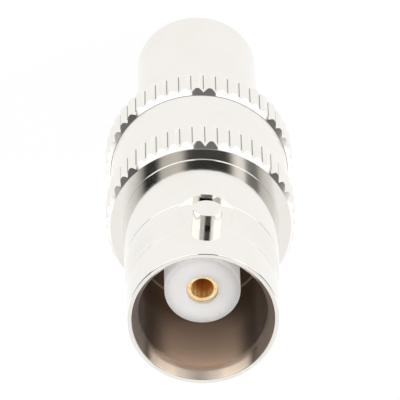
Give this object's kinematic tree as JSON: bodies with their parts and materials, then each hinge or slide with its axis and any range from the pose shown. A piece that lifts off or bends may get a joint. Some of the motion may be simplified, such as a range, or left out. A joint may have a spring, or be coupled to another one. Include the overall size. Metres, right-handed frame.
{
  "type": "sma to bnc coaxial adapter",
  "caption": "Straight coaxial adapter: a BNC jack with bayonet lugs joined by a knurled body to a round SMA plug sleeve.",
  "frame": {"origin": "centre of the SMA sleeve's end, on which the adapter stands", "axes": "+Z along the adapter's axis towards the BNC mouth, the two bayonet lugs point along +Y and -Y"},
  "size_m": [0.0122, 0.0122, 0.0318],
  "materials": {
    "plated_brass": "bright nickel plate",
    "ptfe": "smooth white fluoropolymer",
    "gold_contact": "gold plate"
  },
  "bodies": {
    "root": {"bnc_shell": "plated_brass", "knurled_body": "plated_brass", "sma_ferrule": "plated_brass", "bnc_insulator": "ptfe", "sma_insulator": "ptfe", "contact_socket": "gold_contact", "contact_pin": "gold_contact"}
  },
  "joints": []
}
